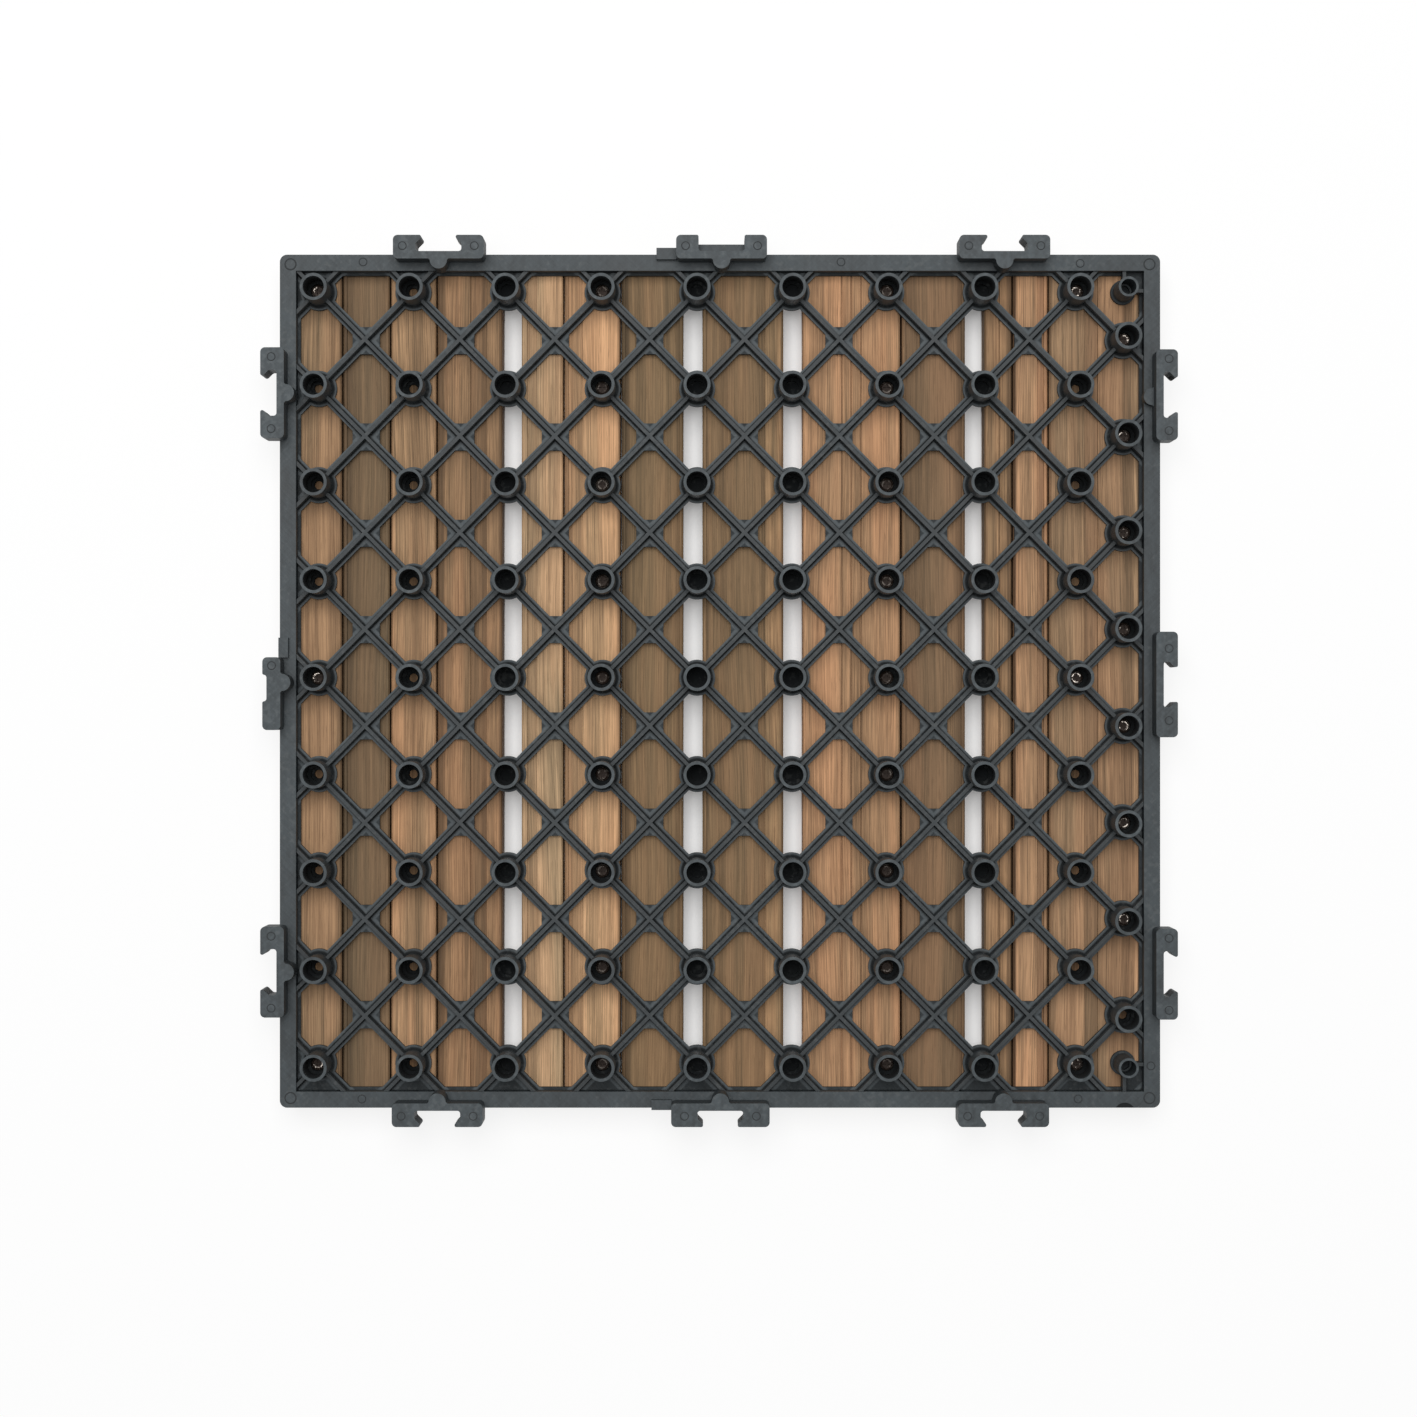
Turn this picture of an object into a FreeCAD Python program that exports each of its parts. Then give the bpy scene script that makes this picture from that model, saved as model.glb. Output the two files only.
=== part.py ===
import FreeCAD, Part
import math
import os
import Sketcher

# Interlocking deck tile as it lies face down: the walking face of the slats is at z = 0, the moulded
# base grid stands on their backs, and its posts end at the top. All sizes are in millimetres, and the
# origin is the middle of the tile on the plane of the walking face.

SIZES = {
    # Post grid: columns along X and rows along Y, with one more column half a step on, at +X
    "column_count": 9,
    "row_count": 9,
    "pitch_x": 32.52,
    "pitch_y": 33.12,
    "margin_west": 7.14,
    "margin_east": 6.54,
    "margin_back": 6.68,
    "margin_front": 9.16,
    # Rim: a channel open towards the slats
    "rim_band": 5.5,
    "rim_rise": 6.0,
    "rim_skin": 1.5,
    "rim_roof": 2.0,
    "rim_corner_r": 2.5,
    # Ribs: an upright web on a flat flange, with gussets where two ribs cross
    "flange_width": 3.7,
    "flange_thickness": 1.6,
    "web_width": 1.2,
    "web_rise": 5.0,
    "gusset_reach": 4.65,
    "seat_ledge": 0.9,
    # Posts
    "post_rise": 14.0,
    "post_r": 4.6,
    "post_bore_r": 3.6,
    "collar_r": 6.2,
    "corner_post_r": 3.4,
    "corner_bore_r": 2.6,
    "corner_collar_r": 4.2,
    "bore_floor": 3.6,
    "head_recess_r": 2.5,
    "corner_recess_r": 2.0,
    "head_seat_rise": 1.8,
    "screw_hole_r": 1.5,
    # Clips
    "clip_rise": 9.5,
    "clip_length": 30.8,
    "clip_reach": 5.3,
    "clip_spine": 2.5,
    "clip_lap": 2.7,
    "clip_corner_r": 1.6,
    "clip_pocket_r": 1.0,
    "clip_mouth_r": 0.6,
    "clip_pocket": 15.6,
    "clip_mouth": 11.8,
    "hook_tip": 1.0,
    "hook_slant": 1.9,
    "tab_root": 6.9,
    "tab_tip_r": 2.9,
    "tab_reach": 3.4,
    "low_tab_drop": 5.0,
    "clip_spacing_x": 96.0,
    "clip_spacing_y": 98.2,
    "clip_shift_north": 0.5,
    "clip_shift_south": 0.1,
    "clip_shift_west": -0.5,
    "clip_shift_east": -1.2,
    "clip_set_in_east": 0.7,
    "south_clip_length": 33.4,
    "east_clip_length": 35.8,
    "west_clip_length": 24.7,
    "west_clip_shift": -3.8,
    "west_clip_lap": 1.5,
    "west_clip_reach": 4.6,
    "west_notch": 9.0,
    "west_notch_depth": 1.4,
    "west_notch_shift": 1.9,
    "bridge_reach": 3.1,
    "bridge_rise": 3.5,
    "stop_length": 6.8,
    "stop_lap_north": 1.9,
    "stop_lap_south": 2.9,
    "stop_lap_west": 3.1,
    "stop_reach_north": 2.0,
    "stop_reach_south": 0.5,
    "stop_reach_west": 0.2,
    "stop_rise": 3.4,
    # Slats
    "slat_thickness": 10.0,
    "slat_inset": 0.75,
    "slat_back_edge": 0.5,
    "slat_walk_edge": 0.8,
    "slat_joint": 0.6,
    "slat_wide_joint": 0.7,
    "slat_gap": 6.7,
    "gap_shift_1": 1.25,
    "gap_shift_2": -1.5,
    "gap_shift_3": 0.5,
    "gap_shift_4": -1.95,
    "slat_01_width": 19.5,
    "slat_02_width": 15.9,
    "slat_03_width": 15.4,
    "slat_05_width": 14.2,
    "slat_06_width": 19.1,
    "slat_09_width": 33.5,
    "slat_11_width": 9.3,
    "slat_12_width": 11.8,
    # Relief in the backs of the slats
    "channel_lip": 1.2,
    "channel_depth": 1.0,
    "groove_width": 0.6,
    "groove_depth": 0.9,
    "slat_04_channel": 5.7,
    "slat_04_channel_at": 11.2,
    "slat_05_channel": 3.4,
    "slat_05_channel_at": 1.9,
    "slat_06_channel": 5.1,
    "slat_08_leg": 6.2,
    "slat_09_groove_at": 13.1,
    "slat_09_groove_step": 3.3,
    "slat_11_groove_at": 4.8,
    "slat_12_channel": 2.4,
    "slat_13_channel": 4.7,
    "slat_13_channel_at": 12.1,
    # Pegs and screws
    "fit_clearance": 0.1,
    "peg_r": 1.2,
    "peg_length": 4.0,
    "screw_shank_r": 1.3,
    "screw_head_r": 2.3,
    "screw_crown_r": 1.6,
    "screw_head_rise": 1.5,
    "screw_length": 8.0,
    "screw_point": 1.6,
    "screw_slot": 0.6,
    "screw_slot_length": 2.8,
    "screw_slot_depth": 0.8,
}

# Places that follow from the driving sizes
LAYOUT = {
    "inner_x": "((Sizes.column_count - 0.5) * Sizes.pitch_x + Sizes.margin_west + Sizes.margin_east) / 2",
    "inner_y": "((Sizes.row_count - 1) * Sizes.pitch_y + Sizes.margin_back + Sizes.margin_front) / 2",
    "half_width": "Layout.inner_x + Sizes.rim_band",
    "half_depth": "Layout.inner_y + Sizes.rim_band",
    "first_x": "-Layout.inner_x + Sizes.margin_west",
    "first_y": "-Layout.inner_y + Sizes.margin_front",
    "seat": "Sizes.slat_thickness",
    "top": "Layout.seat + Sizes.post_rise",
    "head_seat": "Layout.seat + Sizes.head_seat_rise",
    "slat_length": "2 * (Layout.half_depth - Sizes.slat_inset)",
    "west_end": "-Layout.half_width + Sizes.slat_inset",
    "east_end": "Layout.half_width - Sizes.slat_inset",
    "gap_1": "Layout.first_x + 2 * Sizes.pitch_x + Sizes.gap_shift_1",
    "gap_2": "Layout.first_x + 4 * Sizes.pitch_x + Sizes.gap_shift_2",
    "gap_3": "Layout.first_x + 5 * Sizes.pitch_x + Sizes.gap_shift_3",
    "gap_4": "Layout.first_x + 7 * Sizes.pitch_x + Sizes.gap_shift_4",
}

# The open gaps divide the slats into groups, and the last slat of a group fills it up to its gap
SLAT_GROUPS = [
    ("Layout.west_end", (1, 2, 3, 4), "Layout.gap_1 - Sizes.slat_gap / 2"),
    ("Layout.gap_1 + Sizes.slat_gap / 2", (5, 6, 7), "Layout.gap_2 - Sizes.slat_gap / 2"),
    ("Layout.gap_2 + Sizes.slat_gap / 2", (8,), "Layout.gap_3 - Sizes.slat_gap / 2"),
    ("Layout.gap_3 + Sizes.slat_gap / 2", (9, 10), "Layout.gap_4 - Sizes.slat_gap / 2"),
    ("Layout.gap_4 + Sizes.slat_gap / 2", (11, 12, 13), "Layout.east_end"),
]

# Each slat is held by screws through the posts that stand over it, or by pegs under a rib that starts
# at the post column given here
SCREW_COLUMNS = {1: (0,), 6: (3,), 9: (6,), 13: (8, 8.5)}
PEG_COLUMN = {2: 0, 3: 1, 4: 1, 5: 2, 7: 3, 8: 4, 10: 6, 11: 7, 12: 7}
FIXING_ROWS = (1, 4, 7)
SCREW_POSTS = [(column, row) for column in (0, 8) for row in (0, 4, 8)]
SCREW_POSTS += [(column, row) for column in (3, 6) for row in range(9)]
SCREW_POSTS += [(8.5, row + 0.5) for row in range(1, 8)]

# The posts of these columns stand over an open gap, so no screw hole goes through their floors
GAP_COLUMNS = (2, 4, 5, 7)

# Two points closer than this are the same
NEAR = 0.01

# Where the next slat starts after the slat of this number, if not after a plain joint
JOINT_AFTER = {9: "Sizes.slat_wide_joint"}

doc = FreeCAD.newDocument("deck_tile")


def make_sheet():
    sheet = doc.addObject("Spreadsheet::Sheet", "Sizes")
    for number, (name, value) in enumerate(SIZES.items(), start=1):
        sheet.set(f"A{number}", name)
        sheet.set(f"B{number}", str(value))
        sheet.setAlias(f"B{number}", name)
    doc.recompute()
    return sheet


def make_layout():
    layout = doc.addObject("App::VarSet", "Layout")
    places = dict(LAYOUT)
    for start, numbers, end in SLAT_GROUPS:
        for number in numbers:
            places[f"slat_{number:02d}_left"] = start
            if number == numbers[-1]:
                places[f"slat_{number:02d}_width"] = f"{end} - Layout.slat_{number:02d}_left"
            else:
                places[f"slat_{number:02d}_width"] = f"Sizes.slat_{number:02d}_width"
            joint = JOINT_AFTER.get(number, "Sizes.slat_joint")
            start = f"Layout.slat_{number:02d}_left + Layout.slat_{number:02d}_width + {joint}"
    for number, column in PEG_COLUMN.items():
        places[f"peg_{number:02d}_x"] = f"Layout.slat_{number:02d}_left + Layout.slat_{number:02d}_width / 4"
        places[f"peg_{number:02d}_drop"] = (f"(Layout.peg_{number:02d}_x - Layout.first_x"
                                            f" - {column} * Sizes.pitch_x) * Sizes.pitch_y / Sizes.pitch_x")
    for name, expression in places.items():
        layout.addProperty("App::PropertyFloat", name, "Layout")
        layout.setExpression(name, expression)
    doc.recompute()
    return layout


def size(name):
    return float(sheet.get(name))


def place(name):
    return float(getattr(layout, name))


def post_xy(column, row):
    return place("first_x") + column * size("pitch_x"), place("first_y") + row * size("pitch_y")


# Solids from plain outlines

def loop(points, z):
    corners = [FreeCAD.Vector(x, y, z) for x, y in points]
    return Part.makePolygon(corners + corners[:1])


def rectangle(half_x, half_y):
    return [(-half_x, -half_y), (half_x, -half_y), (half_x, half_y), (-half_x, half_y)]


def prism(points, low, high):
    return Part.Face(loop(points, low)).extrude(FreeCAD.Vector(0, 0, high - low))


def pierced_plate(outline, holes, low, high):
    face = Part.makeFace([loop(outline, low)] + holes, "Part::FaceMakerBullseye")
    return face.extrude(FreeCAD.Vector(0, 0, high - low))


def turned(profile):
    """A solid turned about the Z axis from an outline of radius and height."""
    corners = [FreeCAD.Vector(radius, 0, z) for radius, z in profile]
    face = Part.Face(Part.makePolygon(corners + corners[:1]))
    return face.revolve(FreeCAD.Vector(0, 0, 0), FreeCAD.Vector(0, 0, 1), 360)


def moved(shape, x, y):
    copy = shape.copy()
    copy.translate(FreeCAD.Vector(x, y, 0))
    return copy


def kept_inside(points, half_x, half_y):
    """The part of a convex outline that lies inside a rectangle about the origin."""
    for axis, limit in ((0, half_x), (1, half_y)):
        for sign in (1, -1):
            kept = []
            for k, here in enumerate(points):
                there = points[(k + 1) % len(points)]
                room_here, room_there = limit - sign * here[axis], limit - sign * there[axis]
                if room_here >= 0:
                    kept.append(here)
                if room_here * room_there < 0:
                    share = room_here / (room_here - room_there)
                    kept.append(tuple(a + (b - a) * share for a, b in zip(here, there)))
            points = kept
    return points


# Base grid: one moulding of rim, ribs, posts, clips and pegs

def cell_middles():
    """The middles of the cells between two posts of a row, and between two posts of a column."""
    for column in range(-1, int(size("column_count")) + 1):
        for row in range(-1, int(size("row_count")) + 1):
            yield column + 0.5, row, True
            yield column, row + 0.5, False


def cell_share(rib_width):
    """How much of the way from a cell's middle to its corner joints a rib of this width leaves."""
    pitch_x, pitch_y = size("pitch_x"), size("pitch_y")
    return 1 - rib_width * math.hypot(pitch_x, pitch_y) / (pitch_x * pitch_y)


def web_cells():
    """Cells of the web level: plain diamonds up to the rim."""
    share = cell_share(size("web_width"))
    reach_x, reach_y = size("pitch_x") / 2 * share, size("pitch_y") / 2 * share
    for column, row, _ in cell_middles():
        x, y = post_xy(column, row)
        diamond = [(x + reach_x, y), (x, y + reach_y), (x - reach_x, y), (x, y - reach_y)]
        yield kept_inside(diamond, place("inner_x"), place("inner_y"))


def flange_cells():
    """Cells of the flange level: diamonds with flats at the gussets, up to the seat ledge."""
    share = cell_share(size("flange_width"))
    columns, rows = size("column_count"), size("row_count")
    reach_x, reach_y = size("pitch_x") / 2 * share, size("pitch_y") / 2 * share
    flat_x, flat_y = size("pitch_x") / 2 - size("gusset_reach"), size("pitch_y") / 2 - size("gusset_reach")
    end_x, end_y = reach_x * (1 - flat_y / reach_y), reach_y * (1 - flat_x / reach_x)
    ledge_x, ledge_y = place("inner_x") - size("seat_ledge"), place("inner_y") - size("seat_ledge")
    for column, row, between_columns in cell_middles():
        if not (0 <= column < columns and 0 <= row <= rows - 1):
            continue
        x, y = post_xy(column, row)
        if between_columns:
            cell = [(x + reach_x, y), (x + end_x, y + flat_y), (x - end_x, y + flat_y),
                    (x - reach_x, y), (x - end_x, y - flat_y), (x + end_x, y - flat_y)]
        else:
            cell = [(x, y + reach_y), (x - flat_x, y + end_y), (x - flat_x, y - end_y),
                    (x, y - reach_y), (x + flat_x, y - end_y), (x + flat_x, y + end_y)]
        yield kept_inside(cell, ledge_x, ledge_y)


def post_places():
    """The posts of the grid and of the column half a step on, the blind ones over the open gaps, and
    the two in the corners."""
    columns, rows = int(size("column_count")), int(size("row_count"))
    grid = [(column, row) for column in range(columns) for row in range(rows)]
    bored = [where for where in grid if where[0] not in GAP_COLUMNS]
    bored += [(columns - 0.5, row + 0.5) for row in range(rows - 1)]
    blind = [where for where in grid if where[0] in GAP_COLUMNS]
    corners = [(columns - 0.5, 0), (columns - 0.5, rows - 1)]
    return bored, blind, corners


def corner_places():
    """Each corner post's middle, and the inner corner of the rim beside it."""
    for column, row in post_places()[2]:
        yield post_xy(column, row), (place("inner_x"), place("inner_y") if row else -place("inner_y"))


def disc(radius, x, y, z):
    return Part.Face(Part.Wire(Part.makeCircle(radius, FreeCAD.Vector(x, y, z))))


def flange_level(low, high):
    """The floor of the grid: flanges, gussets, collars under the posts and the seat ledge."""
    bored, blind, corners = post_places()
    solid = [disc(size("collar_r"), *post_xy(*where), low) for where in bored + blind]
    solid += [disc(size("corner_collar_r"), *post_xy(*where), low) for where in corners]
    inner_x, inner_y = place("inner_x"), place("inner_y")
    for (x, y), (edge_x, edge_y) in corner_places():
        solid.append(Part.Face(loop([(x, y), (edge_x, y), (edge_x, edge_y), (x, edge_y)], low)))
    cells = Part.makeCompound([Part.Face(loop(cell, low)) for cell in flange_cells()])
    holes = [face.OuterWire for face in cells.cut(Part.makeCompound(solid)).Faces]
    middle = size("rim_skin") / 2
    return pierced_plate(rectangle(inner_x + middle, inner_y + middle), holes, low, high)


def web_level(low, high):
    middle = size("rim_skin") / 2
    holes = [loop(cell, low) for cell in web_cells() if len(cell) > 2]
    outline = rectangle(place("inner_x") + middle, place("inner_y") + middle)
    return pierced_plate(outline, holes, low, high)


def corner_ribs(low, high):
    """The two short ribs that tie each corner post to the rim."""
    half, middle = size("web_width") / 2, size("rim_skin") / 2
    for (x, y), (edge_x, edge_y) in corner_places():
        end_y = edge_y + math.copysign(middle, edge_y)
        yield prism([(x, y - half), (edge_x + middle, y - half), (edge_x + middle, y + half), (x, y + half)],
                    low, high)
        yield prism([(x - half, y), (x + half, y), (x + half, end_y), (x - half, end_y)], low, high)


def rim():
    seat, skin = place("seat"), size("rim_skin")
    half_x, half_y = place("half_width"), place("half_depth")
    inner_x, inner_y = place("inner_x"), place("inner_y")
    band = prism(rectangle(half_x, half_y), seat, seat + size("rim_rise"))
    band = rounded_upright(band, size("rim_corner_r"))
    roof = seat + size("rim_rise") - size("rim_roof")
    hollow = prism(rectangle(half_x - skin, half_y - skin), seat, roof)
    hollow = hollow.cut(prism(rectangle(inner_x + skin, inner_y + skin), seat, roof))
    opening = prism(rectangle(inner_x, inner_y), seat, seat + size("rim_rise"))
    return band.cut([opening, hollow])


def rounded_upright(shape, radius, places=None):
    """Rounds the upright edges of a prism: all of them, or those at these places."""
    upright = [edge for edge in shape.Edges
               if abs(edge.Vertexes[0].Z - edge.Vertexes[-1].Z) > edge.Length / 2]
    if places:
        upright = [edge for edge in upright
                   if any(math.dist(spot, (edge.Vertexes[0].X, edge.Vertexes[0].Y)) < NEAR for spot in places)]
    return shape.makeFillet(radius, upright)


def on_side(side, along, out):
    """A point beside the rim: its place along the side, and how far out from the rim's outer face."""
    half_x, half_y = place("half_width"), place("half_depth")
    return {
        "north": (along, half_y + out),
        "south": (along, -half_y - out),
        "west": (-half_x - out, along),
        "east": (half_x + out, along),
    }[side]


def side_block(side, low, high, near, far, foot, top):
    corners = [(low, near), (high, near), (high, far), (low, far)]
    return prism([on_side(side, along, out) for along, out in corners], foot, top)


def tab(side, along, root, top):
    """A tab that stands in over the rim from the middle of a clip's spine and tapers to a round tip."""
    foot = place("top") - size("clip_rise")
    wide, tip = size("tab_root") / 2, size("tab_tip_r")
    centre = root - size("tab_reach") + tip
    inside = root + size("clip_spine") / 2
    corners = [(along - wide, inside), (along + wide, inside), (along + wide, root), (along + tip, centre),
               (along - tip, centre), (along - wide, root)]
    stem = prism([on_side(side, *corner) for corner in corners], foot, top)
    return stem.fuse(Part.makeCylinder(tip, top - foot, FreeCAD.Vector(*on_side(side, along, centre), foot)))


def clip(side, tab_at, length, kind="hooked", shift=0.0, tabbed=True):
    """A jaw that holds the next tile: a spine on the rim, two arms and, on most, a tab."""
    foot, top = place("top") - size("clip_rise"), place("top")
    near, far = -size("clip_lap"), size("clip_reach")
    if side == "east":
        far -= size("clip_set_in_east")
    if kind == "filled":
        near, far = -size("west_clip_lap"), size("west_clip_reach")
    beyond = far + size("clip_corner_r")
    middle = tab_at + shift
    block = side_block(side, middle - length / 2, middle + length / 2, near, far, foot, top)
    block = rounded_upright(block, size("clip_corner_r"))
    wide, floor = size("clip_pocket") / 2, near + size("clip_spine")
    mouth, neck = size("clip_mouth") / 2, far - size("hook_tip")
    if kind == "hooked":
        half = [(wide, floor), (wide, neck - size("hook_slant")), (mouth, neck), (mouth, beyond)]
    elif kind == "open":
        half = [(wide, floor), (wide, beyond)]
    else:
        middle += size("west_notch_shift")
        half = [(size("west_notch") / 2, far - size("west_notch_depth")), (size("west_notch") / 2, beyond)]
    outline = half + [(-along, out) for along, out in reversed(half)]
    jaw = prism([on_side(side, middle + along, out) for along, out in outline], foot, top)
    block = block.cut(rounded_upright(jaw, size("clip_pocket_r")))
    lips = [on_side(side, middle + way * half[-1][0], far) for way in (-1, 1)]
    block = rounded_upright(block, size("clip_mouth_r"), lips)
    if not tabbed:
        return block
    return block.fuse(tab(side, tab_at, near, top - (size("low_tab_drop") if side == "east" else 0)))


def clips():
    """Three clips on each side. The middle ones differ: one is bridged and one is filled. On the east
    side only the north one has a tab, and it is a low one."""
    length = size("clip_length")
    foot = place("top") - size("clip_rise")
    sides = (("north", "x", length, "open", 0), ("south", "x", size("south_clip_length"), "hooked", 0),
             ("west", "y", size("west_clip_length"), "filled", size("west_clip_shift")),
             ("east", "y", size("east_clip_length"), "hooked", 0))
    for side, axis, middle_length, kind, shift in sides:
        middle, spacing = size(f"clip_shift_{side}"), size(f"clip_spacing_{axis}")
        tabbed = side != "east"
        yield clip(side, middle - spacing, length, tabbed=tabbed)
        yield clip(side, middle + spacing, length)
        yield clip(side, middle, middle_length, kind, shift, tabbed)
        if side == "east":
            continue
        # A low stop beside the middle clip
        way = 1 if side == "west" else -1
        start = middle + shift + way * middle_length / 2
        yield side_block(side, *sorted((start, start + way * size("stop_length"))),
                         -size(f"stop_lap_{side}"), size(f"stop_reach_{side}"), foot, foot + size("stop_rise"))
    pocket = size("clip_pocket") / 2
    middle = size("clip_shift_north")
    yield side_block("north", middle - pocket, middle + pocket, size("clip_spine") - size("clip_lap"),
                     size("bridge_reach"), foot, foot + size("bridge_rise"))


def post_forms():
    """A post and its stepped bore, at the origin: for the bored, the blind and the corner posts."""
    seat, top = place("seat"), place("top")
    root, ledge, floor = seat + size("flange_thickness") / 2, place("head_seat"), seat + size("bore_floor")
    hole_r, recess_r, bore_r = size("screw_hole_r"), size("head_recess_r"), size("post_bore_r")
    post = turned([(0, root), (size("post_r"), root), (size("post_r"), top), (0, top)])
    upper = [(recess_r, ledge), (recess_r, floor), (bore_r, floor), (bore_r, top), (0, top)]
    bored = turned([(0, seat), (hole_r, seat), (hole_r, ledge)] + upper)
    blind = turned([(0, ledge)] + upper)
    corner_r, recess_r, bore_r = size("corner_post_r"), size("corner_recess_r"), size("corner_bore_r")
    corner = turned([(0, root), (corner_r, root), (corner_r, top), (0, top)])
    corner_bore = turned([(0, ledge), (recess_r, ledge), (recess_r, floor), (bore_r, floor), (bore_r, top),
                          (0, top)])
    return (post, bored), (post, blind), (corner, corner_bore)


def pegs():
    """Pegs under the ribs, which enter the backs of the slats that no screw holds."""
    seat, length = place("seat"), size("peg_length")
    rise = length + size("flange_thickness") / 2
    for number in PEG_COLUMN:
        for row in FIXING_ROWS:
            y = post_xy(0, row)[1] - place(f"peg_{number:02d}_drop")
            yield Part.makeCylinder(size("peg_r"), rise,
                                    FreeCAD.Vector(place(f"peg_{number:02d}_x"), y, seat - length))


def make_base_grid():
    seat = place("seat")
    flange = flange_level(seat, seat + size("flange_thickness"))
    root, web_top = seat + size("flange_thickness") / 2, seat + size("web_rise")
    web = [web_level(root, web_top)] + list(corner_ribs(root, web_top))
    posts, bores = [], []
    for places, (post, bore) in zip(post_places(), post_forms()):
        posts += [moved(post, *post_xy(*where)) for where in places]
        bores += [moved(bore, *post_xy(*where)) for where in places]
    moulding = rim().multiFuse([flange] + web + list(clips()) + posts + list(pegs()))
    grid = doc.addObject("Part::Feature", "base_grid")
    grid.Label = "base_grid"
    grid.Shape = moulding.cut(Part.makeCompound(bores)).Solids[0]
    return grid


# Sketched bodies, whose points and radii are bound to the sheet

def new_body(label):
    body = doc.addObject("PartDesign::Body", label)
    body.Label = label
    return body


def origin_feature(body, role):
    return next(feature for feature in body.Origin.OriginFeatures if feature.Role == role)


def new_sketch(body, name, height="0", plane="XY_Plane"):
    sketch = body.newObject("Sketcher::SketchObject", name)
    sketch.AttachmentSupport = [(origin_feature(body, plane), "")]
    sketch.MapMode = "FlatFace"
    sketch.setExpression("AttachmentOffset.Base.z", height)
    return sketch


def pin_point(sketch, edge, corner, x, y, start):
    for kind, expression, value in (("DistanceX", x, start.x), ("DistanceY", y, start.y)):
        number = sketch.addConstraint(Sketcher.Constraint(kind, -1, 1, edge, corner, value))
        name = f"edge{edge}_{kind[-1].lower()}"
        sketch.renameConstraint(number, name)
        sketch.setExpression(f"Constraints.{name}", expression)


def add_outline(sketch, corners):
    """A closed outline. It starts as a round ring of points, and its expressions then place them."""
    first, count = sketch.GeometryCount, len(corners)
    turns = [2 * math.pi * (k + 0.3) / count for k in range(count)]
    starts = [FreeCAD.Vector(10 * math.cos(turn), 10 * math.sin(turn), 0) for turn in turns]
    for k in range(count):
        sketch.addGeometry(Part.LineSegment(starts[k], starts[(k + 1) % count]), False)
    for k in range(count):
        sketch.addConstraint(Sketcher.Constraint("Coincident", first + k, 2, first + (k + 1) % count, 1))
    for k, (x, y) in enumerate(corners):
        pin_point(sketch, first + k, 1, x, y, starts[k])


def add_circle(sketch, x, y, radius):
    start = FreeCAD.Vector(5, 5, 0)
    edge = sketch.addGeometry(Part.Circle(start, FreeCAD.Vector(0, 0, 1), 2), False)
    pin_point(sketch, edge, 3, x, y, start)
    number = sketch.addConstraint(Sketcher.Constraint("Radius", edge, 2))
    sketch.renameConstraint(number, f"edge{edge}_r")
    sketch.setExpression(f"Constraints.edge{edge}_r", radius)


def add_feature(body, kind, name, sketch, length=None):
    feature = body.newObject(f"PartDesign::{kind}", name)
    feature.Profile = sketch
    if length:
        feature.setExpression("Length", length)
    body.Tip = feature
    return feature


# Slats: boards with a milled back, all as long as the rim is deep

def slat_relief(number):
    """Shallow channels and saw grooves in a slat's back: start, end and depth from its left edge."""
    width = f"Layout.slat_{number:02d}_width"
    lip, depth = "Sizes.channel_lip", "Sizes.channel_depth"
    if number in (2, 7, 10):
        return [(lip, f"{width} - {lip}", depth)]
    if number in (4, 5, 13):
        start = f"Sizes.slat_{number:02d}_channel_at"
        return [(start, f"{start} + Sizes.slat_{number:02d}_channel", depth)]
    if number == 6:
        return [(lip, f"{lip} + Sizes.slat_06_channel", depth)]
    if number == 8:
        return [(lip, f"{width} - Sizes.slat_08_leg", depth)]
    if number == 9:
        starts = [f"Sizes.slat_09_groove_at + {k} * Sizes.slat_09_groove_step" for k in range(3)]
        return [(start, f"{start} + Sizes.groove_width", "Sizes.groove_depth") for start in starts]
    if number == 11:
        start = "Sizes.slat_11_groove_at"
        return [(start, f"{start} + Sizes.groove_width", "Sizes.groove_depth")]
    if number == 12:
        return [(f"{width} - {lip} - Sizes.slat_12_channel", f"{width} - {lip}", depth)]
    return []


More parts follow.
